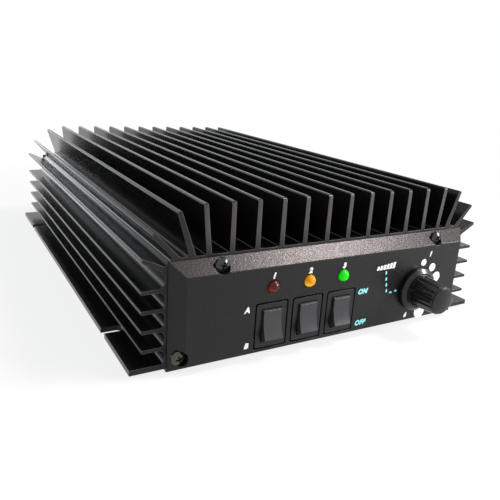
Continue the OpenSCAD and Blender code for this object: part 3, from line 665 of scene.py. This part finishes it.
@dataclass
class Workshop:
    """Makes the finishes once, and puts pieces and nodes in their places."""

    nodes: Mapping[str, bpy.types.Object]
    made: dict[str, bpy.types.Material] = field(default_factory=dict)

    def finish(self, slot: Slot) -> bpy.types.Material:
        """The slot's material, made when it is first asked for."""
        return self.special(slot.value, FINISHES[slot])

    def special(self, name: str, finish: Finish) -> bpy.types.Material:
        """A material by name, made when it is first asked for.

        Args:
            name: The material's name.
            finish: What makes it.

        Returns:
            The material.
        """
        if name not in self.made:
            self.made[name] = finish.material(name)
        return self.made[name]

    def dress(self, slot: Slot, *names: str) -> None:
        """Gives CAD nodes the slot's material.

        Args:
            slot: The slot whose finish they get.
            *names: The nodes' names.
        """
        for name in names:
            node = self.nodes[name]
            node.data.materials.clear()
            node.data.materials.append(self.finish(slot))
            LOG.info("node %s dressed in %s", name, slot.value)

    def piece(
        self,
        name: str,
        mesh: bpy.types.Mesh,
        body: str,
        material: bpy.types.Material,
        slot: Slot | None = None,
        smooth: float | None = 35.0,
    ) -> bpy.types.Object:
        """Puts a mesh in the scene as a piece that rides on a body.

        Args:
            name: The piece's name.
            mesh: Its mesh, already in place.
            body: The CAD body that carries it.
            material: Its finish.
            slot: Not used.
            smooth: Largest angle in degrees that is shaded smooth, or None.

        Returns:
            The new object.
        """
        thing = bpy.data.objects.new(name, mesh)
        bpy.context.scene.collection.objects.link(thing)
        mesh.name = name
        mesh.materials.clear()
        mesh.materials.append(material)
        if smooth is not None:
            mesh.shade_smooth()
            mesh.set_sharp_from_angle(angle=math.radians(smooth))
        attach(thing, body)
        LOG.info("piece %s rides on %s", name, body)
        return thing


def middle(node: str) -> Vector:
    """The middle of a CAD node's box."""
    low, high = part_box(node)
    return (low + high) / 2


def mesh_from(build: Callable[[bmesh.types.BMesh], None], name: str) -> bpy.types.Mesh:
    """Runs a bmesh recipe and turns its faces outwards.

    Args:
        build: The recipe, which fills an empty bmesh.
        name: The mesh's name.

    Returns:
        The new mesh.
    """
    shape = bmesh.new()
    build(shape)
    bmesh.ops.recalc_face_normals(shape, faces=shape.faces[:])
    mesh = bpy.data.meshes.new(name)
    shape.to_mesh(mesh)
    shape.free()
    return mesh


# ------------------------------------------------------------------ heat sink and case


@dataclass
class Case:
    """The extrusion, its covers and their screws."""

    shop: Workshop

    def build(self) -> None:
        """Dresses the nodes of the case."""
        self.shop.dress(Slot.ANODISED, "heatsink")
        self.shop.dress(Slot.COVER, "bottom_cover", "rear_panel")
        self.shop.dress(Slot.PANEL, "front_panel")
        self.shop.dress(Slot.SCREW_BLACK, "cover_screws", "front_screws_top", "rear_screws")
        self.shop.dress(Slot.SCREW_NICKEL, "front_screws_bottom")


# ------------------------------------------------------------------ printed marks


class Inks(Enum):
    """The two inks on the front panel."""

    WHITE = ("ink_white", Ink((0.86, 0.86, 0.84)))
    CYAN = ("ink_cyan", Ink((0.27, 0.78, 0.86)))


@dataclass
class Legends:
    """Everything that is printed on the front panel's face."""

    shop: Workshop
    thickness: float = 0.04 * MM
    cap_height: float = 2.0 * MM
    font_cap_share: float = 0.70
    slant: float = 0.22
    weight: float = 0.12
    spacing: float = 1.12
    lamp_to_mark: Point = (-0.2 * MM, 4.1 * MM)
    dial_shift: Point = (0.5 * MM, -0.4 * MM)
    dial_radius: float = 12.3 * MM
    dial_to_first: Point = (5.75 * MM, 15.5 * MM)
    dial_to_last: Point = (-4.3 * MM, -11.8 * MM)
    dot_turns: tuple[float, ...] = (11.6, 42.0, 69.8, 99.2, 129.2, 159.0)
    dot_sizes: tuple[float, ...] = (3.1 * MM, 3.8 * MM, 4.7 * MM, 5.2 * MM, 5.7 * MM, 6.1 * MM)
    dot_corners: int = 48
    dash_size: Point = (0.85 * MM, 1.55 * MM)
    dash_corners: int = 24
    bars: int = 6
    bar_width: float = 1.25 * MM
    bar_gap: float = 0.45 * MM
    bar_height: float = 2.7 * MM
    first_bar: float = 0.60
    dial_to_bars: Point = (-19.6 * MM, 11.6 * MM)
    face_y: float = 0.0
    dial: Vector = field(default_factory=Vector)

    SWITCH_MARKS: ClassVar[tuple[tuple[str, str, str, Point, Inks], ...]] = (
        ("mark_first_up", "A", "switch_housing_1", (-10.8 * MM, 7.4 * MM), Inks.WHITE),
        ("mark_first_down", "B", "switch_housing_1", (-10.4 * MM, -7.2 * MM), Inks.WHITE),
        ("mark_on", "ON", "switch_housing_3", (11.0 * MM, 6.8 * MM), Inks.CYAN),
        ("mark_off", "OFF", "switch_housing_3", (11.6 * MM, -7.3 * MM), Inks.CYAN),
    )
    # Middles of the dashes from the dial's middle, in millimetres
    DASHES_DOWN: ClassVar[tuple[Point, ...]] = (
        (-19.0, 10.0), (-18.5, 7.2), (-18.0, 4.5), (-17.5, 1.7)
    )
    DASHES_ACROSS: ClassVar[tuple[Point, ...]] = ((-15.0, 0.6), (-12.2, 0.9))

    def build(self) -> None:
        """Prints the marks at the lamps, the switches and the dial."""
        self.face_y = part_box("front_panel")[0].y
        aside, up = self.dial_shift
        self.dial = middle("selector_shaft") + Vector((aside, 0.0, up))
        self._lamp_marks()
        self._switch_marks()
        self._dial_dots()
        self._dial_ends()
        self._level_bars()
        self._dashes()

    def _lamp_marks(self) -> None:
        """Plain numbers above the lamps."""
        aside, up = self.lamp_to_mark
        for number in (1, 2, 3):
            lamp = middle(f"led_{number}")
            place = (lamp.x + aside, lamp.z + up)
            self._word(f"mark_lamp_{number}", str(number), place, Inks.WHITE)

    def _switch_marks(self) -> None:
        """The two positions of the first and of the last switch."""
        for name, text, switch, (aside, up), ink in self.SWITCH_MARKS:
            centre = middle(switch)
            self._word(name, text, (centre.x + aside, centre.z + up), ink)

    def _word(self, name: str, text: str, place: Point, ink: Inks) -> None:
        """Prints slanted bold letters, centred at a place on the face.

        Args:
            name: The piece's name.
            text: What is printed.
            place: Its middle, along X and Z.
            ink: Which ink.
        """
        curve = bpy.data.curves.new(name, "FONT")
        curve.body = text
        curve.size = self.cap_height / self.font_cap_share
        curve.shear = self.slant
        curve.space_character = self.spacing
        curve.bevel_depth = self.weight * self.cap_height
        curve.bevel_resolution = 0
        curve.align_x = "CENTER"
        curve.align_y = "CENTER"
        holder = bpy.data.objects.new(name + "_curve", curve)
        bpy.context.scene.collection.objects.link(holder)
        bpy.context.view_layer.update()
        graph = bpy.context.evaluated_depsgraph_get()
        mesh = bpy.data.meshes.new_from_object(holder.evaluated_get(graph))
        bpy.data.objects.remove(holder)
        flat = self.thickness / 2 / curve.bevel_depth
        mesh.transform(
            Matrix.Translation((place[0], self.face_y - self.thickness / 2, place[1]))
            @ Matrix.Rotation(math.radians(90), 4, "X") @ Matrix.Diagonal((1.0, 1.0, flat, 1.0))
        )
        self.shop.piece(name, mesh, "chassis", self.shop.special(*ink.value), smooth=None)

    def _print(self, name: str, outlines: Iterable[Sequence[Point]], ink: Inks) -> None:
        """Prints closed outlines given along X and Z.

        Args:
            name: The piece's name.
            outlines: Corner points of each patch of ink.
            ink: Which ink.
        """
        def recipe(shape: bmesh.types.BMesh) -> None:
            """Raises each outline by the ink's thickness, with a softened edge.

            Args:
                shape: The bmesh to fill.
            """
            for outline in outlines:
                corners = [Vector((x, self.face_y, z)) for x, z in outline]
                centre = sum(corners, Vector()) / len(corners)
                low = [shape.verts.new(corner) for corner in corners]
                high = []
                for corner in corners:
                    inward = (centre - corner).normalized() * self.thickness
                    raised = corner + inward - Vector((0.0, self.thickness, 0.0))
                    high.append(shape.verts.new(raised))
                shape.faces.new(high)
                shape.faces.new(low[::-1])
                for k in range(len(low)):
                    after = (k + 1) % len(low)
                    shape.faces.new((low[k], low[after], high[after], high[k]))

        material = self.shop.special(*ink.value)
        self.shop.piece(name, mesh_from(recipe, name), "chassis", material, smooth=None)

    def _dial_dots(self) -> None:
        """Six growing dots round the knob, about a click apart."""
        turns = [math.tau * step / self.dot_corners for step in range(self.dot_corners)]
        rings = []
        for size, degrees in zip(self.dot_sizes, self.dot_turns):
            turn = math.radians(degrees)
            x = self.dial.x + self.dial_radius * math.sin(turn)
            z = self.dial.z + self.dial_radius * math.cos(turn)
            radius = size / 2
            rings.append([(x + radius * math.cos(a), z + radius * math.sin(a)) for a in turns])
        self._print("dial_dots", rings, Inks.WHITE)

    def _dial_ends(self) -> None:
        """The first and the last number of the dial."""
        ends = (
            ("mark_dial_first", 1, self.dial_to_first),
            ("mark_dial_last", len(self.dot_sizes), self.dial_to_last),
        )
        for name, number, (aside, up) in ends:
            self._word(name, str(number), (self.dial.x + aside, self.dial.z + up), Inks.WHITE)

    def _level_bars(self) -> None:
        """A rising row of bars over the dashed line."""
        aside, up = self.dial_to_bars
        step = self.bar_width + self.bar_gap
        start = self.dial.x + aside - (self.bars * step - self.bar_gap) / 2
        foot = self.dial.z + up
        outlines = []
        for k in range(self.bars):
            left = start + k * step
            right = left + self.bar_width
            grown = self.first_bar + (1.0 - self.first_bar) * k / (self.bars - 1)
            top = foot + self.bar_height * grown
            lean = self.slant * (top - foot)
            outlines.append([(left, foot), (right, foot), (right + lean, top), (left + lean, top)])
        self._print("dial_bars", outlines, Inks.WHITE)

    def _dashes(self) -> None:
        """A dashed line that comes down from the bars and turns in to the knob."""
        width, length = self.dash_size
        outlines = []
        for places, wide, high in (
            (self.DASHES_DOWN, width, length), (self.DASHES_ACROSS, length, width)
        ):
            for x, z in places:
                place = (self.dial.x + x * MM, self.dial.z + z * MM)
                outlines.append(self._capsule(place, wide, high))
        self._print("dial_dashes", outlines, Inks.CYAN)

    def _capsule(self, place: Point, width: float, height: float) -> list[Point]:
        """The outline of a dash with rounded ends.

        Args:
            place: The dash's middle, along X and Z.
            width: Its size along X.
            height: Its size along Z.

        Returns:
            Its corner points.
        """
        radius = min(width, height) / 2
        aside, up = width / 2 - radius, height / 2 - radius
        points = []
        for step in range(self.dash_corners):
            angle = math.tau * (step + 0.5) / self.dash_corners
            x = place[0] + math.copysign(aside, math.cos(angle)) + radius * math.cos(angle)
            z = place[1] + math.copysign(up, math.sin(angle)) + radius * math.sin(angle)
            points.append((x, z))
        return points


# ------------------------------------------------------------------ controls


@dataclass
class Controls:
    """Switches, lamps, the selector and its knob."""

    shop: Workshop
    pointer_turn: float = 4.0
    pointer_width: float = 1.3 * MM
    ink_depth: float = 0.04 * MM

    # Radius and height above the knob's back edge, in millimetres
    SKIRT: ClassVar[tuple[Point, ...]] = ((7.9, 3.0), (8.05, 3.0), (9.58, 1.81))

    def build(self) -> None:
        """Dresses the nodes and paints the knob's pointer."""
        numbers = (1, 2, 3)
        self.shop.dress(Slot.SWITCH, *(f"switch_housing_{n}" for n in numbers))
        self.shop.dress(Slot.ROCKER, *(f"rocker_{n}" for n in numbers))
        for number, slot in zip(numbers, (Slot.LAMP_RED, Slot.LAMP_AMBER, Slot.LAMP_GREEN)):
            self.shop.dress(slot, f"led_{number}")
        self.shop.dress(Slot.TINNED, "switch_pins", "led_leads", "selector_pins")
        self.shop.dress(Slot.SELECTOR, "selector_body")
        self.shop.dress(Slot.BRIGHT, "selector_washer", "selector_nut", "selector_shaft")
        self.shop.dress(Slot.KNOB, "knob")
        self.shop.dress(Slot.CAP, "knob_cap")
        self._pointer()

    def _pointer(self) -> None:
        """A painted line that runs down the skirt's chamfer."""
        knob = middle("selector_shaft")
        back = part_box("knob")[1].y
        turn = Matrix.Rotation(math.radians(self.pointer_turn), 4, "Y")
        half = self.pointer_width / 2

        def recipe(shape: bmesh.types.BMesh) -> None:
            """Lays two skins along the skirt's profile and closes them.

            Args:
                shape: The bmesh to fill.
            """
            rows = []
            for lift in (0.0, self.ink_depth):
                for radius, height in self.SKIRT:
                    y, z = back - height * MM - lift, radius * MM + lift
                    rows.append([shape.verts.new((x, y, z)) for x in (-half, half)])
            count = len(self.SKIRT)
            lower, upper = rows[:count], rows[count:]
            for k in range(count - 1):
                shape.faces.new((upper[k][0], upper[k][1], upper[k + 1][1], upper[k + 1][0]))
                shape.faces.new((lower[k][0], lower[k + 1][0], lower[k + 1][1], lower[k][1]))
                for side in (0, 1):
                    near, far = (lower[k], upper[k]), (upper[k + 1], lower[k + 1])
                    shape.faces.new([row[side] for row in (*near, *far)])
            for k in (0, count - 1):
                shape.faces.new((lower[k][0], lower[k][1], upper[k][1], upper[k][0]))

        mesh = mesh_from(recipe, "knob_pointer")
        mesh.transform(Matrix.Translation((knob.x, 0, knob.z)) @ turn)
        material = self.shop.special(*Inks.WHITE.value)
        self.shop.piece("knob_pointer", mesh, "power_knob", material, smooth=None)


# ------------------------------------------------------------------ inside


@dataclass
class Electronics:
    """The two boards and what they carry."""

    shop: Workshop

    SLOTS: ClassVar[dict[Slot, tuple[str, ...]]] = {
        Slot.BOARD: ("control_board", "main_board"),
        Slot.TINNED: ("board_link",),
        Slot.BRIGHT: ("board_standoffs",),
        Slot.SCREW_NICKEL: ("board_screws", "clamp_screws"),
        Slot.PAD: ("thermal_pads",),
        Slot.DEVICE: ("transistors", "fuse_holders"),
        Slot.CLAMP: ("transistor_clamp",),
        Slot.FERRITE: ("output_transformer_cores", "input_transformer"),
        Slot.COPPER: ("output_transformer_plates",),
        Slot.RELAY: ("relays",),
        Slot.COIL: ("filter_coils",),
        Slot.SLEEVE: ("electrolytic_capacitors",),
        Slot.FUSE: ("blade_fuses",),
    }

    def build(self) -> None:
        """Dresses the nodes inside the case."""
        for slot, names in self.SLOTS.items():
            self.shop.dress(slot, *names)


# ------------------------------------------------------------------ rear


@dataclass
class RearConnectors:
    """Coaxial sockets, the supply leads' bush and the keying jack."""

    shop: Workshop
    barrel: float = 7.94 * MM
    ridge: float = 0.30 * MM
    pitch: float = 1.058 * MM
    foot_share: float = 0.45
    sunk_share: float = 0.1
    thread_ends: Span = (0.1178, 0.1322)
    facets: int = 40

    def build(self) -> None:
        """Winds the sockets' threads and dresses the connectors."""
        for side in ("input", "output"):
            self._thread(f"coax_thread_{side}", middle(f"coax_socket_{side}"))
        self.shop.dress(Slot.COAX, "coax_socket_input", "coax_socket_output", "coax_contacts")
        self.shop.dress(Slot.INSULATOR, "coax_insulators")
        self.shop.dress(Slot.SCREW_NICKEL, "coax_screws")
        self.shop.dress(Slot.GLAND, "power_gland")
        self.shop.dress(Slot.SWITCH, "remote_jack")
        self.shop.dress(Slot.BRIGHT, "remote_nut")

    def _thread(self, name: str, centre: Vector) -> None:
        """Winds a thread's ridge round a socket's barrel, fading out at both ends.

        Args:
            name: The piece's name.
            centre: The socket's middle, on its axis.
        """
        start, end = self.thread_ends
        turns = (end - start) / self.pitch
        steps = int(turns * self.facets)
        sunk = self.ridge * self.sunk_share

        def recipe(shape: bmesh.types.BMesh) -> None:
            """Sweeps a three-cornered ridge along the helix and closes its ends.

            Args:
                shape: The bmesh to fill.
            """
            rows = []
            for step in range(steps + 1):
                turned = turns * step / steps
                height = self.ridge * min(1.0, turned, turns - turned)
                angle = math.tau * turned
                row = []
                for aside, rise in ((-self.foot_share, 0.0), (0.0, height), (self.foot_share, 0.0)):
                    radius = self.barrel + rise - sunk
                    x = centre.x + radius * math.sin(angle)
                    z = centre.z + radius * math.cos(angle)
                    row.append(shape.verts.new((x, start + (turned + aside) * self.pitch, z)))
                rows.append(row)
            for near, far in zip(rows, rows[1:]):
                for k in range(len(near)):
                    shape.faces.new((near[k], near[k - 1], far[k - 1], far[k]))
            shape.faces.new(rows[0])
            shape.faces.new(rows[-1])

        material = self.shop.finish(Slot.COAX)
        self.shop.piece(name, mesh_from(recipe, name), "chassis", material, Slot.COAX)


# ------------------------------------------------------------------ studio


@dataclass(frozen=True)
class Lamp:
    """A soft rectangular lamp that looks at the object."""

    name: str
    place: tuple[float, float, float]
    size: Point
    power: float
    colour: Colour = (1.0, 1.0, 1.0)

    def light(self, target: Vector) -> None:
        """Hangs the lamp.

        Args:
            target: The point that it looks at.
        """
        data = bpy.data.lights.new(self.name, "AREA")
        data.shape = "RECTANGLE"
        data.size, data.size_y = self.size
        data.energy = self.power
        data.color = self.colour
        lamp = bpy.data.objects.new(self.name, data)
        bpy.context.scene.collection.objects.link(lamp)
        lamp.location = self.place
        aim = target - Vector(self.place)
        lamp.rotation_euler = aim.to_track_quat("-Z", "Y").to_euler()


@dataclass
class Studio:
    """Camera, floor, lamps and surroundings."""

    eye: Vector = field(default_factory=lambda: Vector((-0.1368, -0.2770, 0.1049)))
    ahead: Vector = field(default_factory=lambda: Vector((0.489, 0.816, -0.307)))
    right: Vector = field(default_factory=lambda: Vector((0.866, -0.496, 0.063)))
    focal_share: float = 555.5 / 500
    sensor_millimetres: float = 36.0
    nearest: float = 0.01
    axis_shift: Point = (-0.009, -0.0016)
    lit_point: Vector = field(default_factory=lambda: Vector((0.0, 0.0, 0.03)))
    floor_size: float = 6.0
    floor_colour: Colour = (0.97, 0.97, 0.97)
    floor_mottle: float = 0.99
    mottle_grain: float = 0.4
    floor_white: float = 0.80
    shadow_reach: Span = (0.18, 0.36)
    white: Colour = (1.0, 1.0, 1.0)
    ambient: float = 0.30
    sky: Colour = (0.95, 0.98, 1.0)
    lamps: tuple[Lamp, ...] = (
        Lamp("overhead_softbox", (0.52, -0.28, 0.76), (0.21, 0.20), 6.4, (1.0, 0.88, 0.86)),
        Lamp("right_fill", (0.36, -0.33, 0.16), (0.20, 0.16), 2.3),
        Lamp("left_strip", (-0.75, 0.10, 0.55), (0.12, 0.7), 2.6, (0.88, 0.95, 1.0)),
        Lamp("back_strip", (-0.37, 0.88, 0.16), (0.8, 0.10), 0.9, (0.88, 0.95, 1.0)),
    )

    def build(self) -> None:
        """Sets up everything that isn't the object."""
        self._camera()
        self._floor()
        self._world()
        for lamp in self.lamps:
            lamp.light(self.lit_point)
        bpy.context.scene.view_settings.view_transform = "Standard"

    def _camera(self) -> None:
        """Puts the camera where the photograph was taken from."""
        back = -self.ahead.normalized()
        right = (self.right - back * self.right.dot(back)).normalized()
        up = back.cross(right)
        data = bpy.data.cameras.new("camera")
        data.sensor_fit = "HORIZONTAL"
        data.sensor_width = self.sensor_millimetres
        data.lens = self.focal_share * data.sensor_width
        data.shift_x, data.shift_y = self.axis_shift
        data.clip_start = self.nearest
        camera = bpy.data.objects.new("camera", data)
        bpy.context.scene.collection.objects.link(camera)
        turn = Matrix((right, up, back)).transposed().to_4x4()
        camera.matrix_world = Matrix.Translation(self.eye) @ turn
        bpy.context.scene.camera = camera

    @staticmethod
    def _seen(graph: Graph) -> Signal:
        """Tells the rays that see the background from those that light the object.

        Args:
            graph: The graph that needs it.

        Returns:
            1 on rays from the camera, from glossy surfaces and through clear ones.
        """
        paths = graph.add("ShaderNodeLightPath")
        rays = ("Is Camera Ray", "Is Glossy Ray", "Is Transmission Ray")
        camera, glossy, through = (Signal(graph, paths.outputs[ray]) for ray in rays)
        return (camera + glossy + through).clamped()

    def _floor(self) -> None:
        """A white floor that keeps the shadow and turns to plain white further out."""
        surface = Surface("studio_floor")
        away = (surface.axis("X") ** 2 + surface.axis("Y") ** 2) ** 0.5
        fade = away.spread(*self.shadow_reach)
        share = self._seen(surface) * (self.floor_white + fade * (1.0 - self.floor_white))
        mottled = shaded(self.floor_colour, self.floor_mottle)
        paper = surface.blend(surface.noise(self.mottle_grain, 2.0), mottled, self.floor_colour)
        lit = surface.signal("ShaderNodeBsdfDiffuse", 0, None, {"Color": paper})
        plain = surface.signal(
            "ShaderNodeEmission", 0, None, {"Color": self.white, "Strength": 1.0}
        )
        mixed = surface.signal("ShaderNodeMixShader", 0, None, {0: share, 1: lit, 2: plain})
        surface.tree.links.new(mixed.socket, surface.output.inputs["Surface"])
        mesh = bpy.data.meshes.new("studio_floor")
        reach = self.floor_size / 2
        corners = [(-reach, -reach, 0), (reach, -reach, 0), (reach, reach, 0), (-reach, reach, 0)]
        mesh.from_pydata(corners, [], [(0, 1, 2, 3)])
        floor = bpy.data.objects.new("studio_floor", mesh)
        floor.data.materials.append(surface.material)
        bpy.context.scene.collection.objects.link(floor)

    def _world(self) -> None:
        """White where it is seen or mirrored, a plain soft light elsewhere."""
        world = bpy.data.worlds.new("studio_world")
        world.use_nodes = True
        bpy.context.scene.world = world
        graph = Graph(world.node_tree)
        light = graph.signal(
            "ShaderNodeMix", 2, {"data_type": "RGBA"},
            {0: self._seen(graph), 6: shaded(self.sky, self.ambient), 7: self.white},
        )
        shader = graph.signal("ShaderNodeBackground", 0, None, {"Color": light, "Strength": 1.0})
        output = graph.add("ShaderNodeOutputWorld")
        graph.tree.links.new(shader.socket, output.inputs["Surface"])


# ------------------------------------------------------------------ main


def main() -> None:
    """Loads the frame, then builds each sub-assembly in turn."""
    logging.basicConfig(level=logging.INFO, format="%(name)s: %(message)s")
    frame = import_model()
    Studio().build()
    shop = Workshop(frame["nodes"])
    for assembly in (Case, Controls, Legends, Electronics, RearConnectors):
        assembly(shop).build()
        LOG.info("%s built", assembly.__name__)


if __name__ == "__main__":
    main()
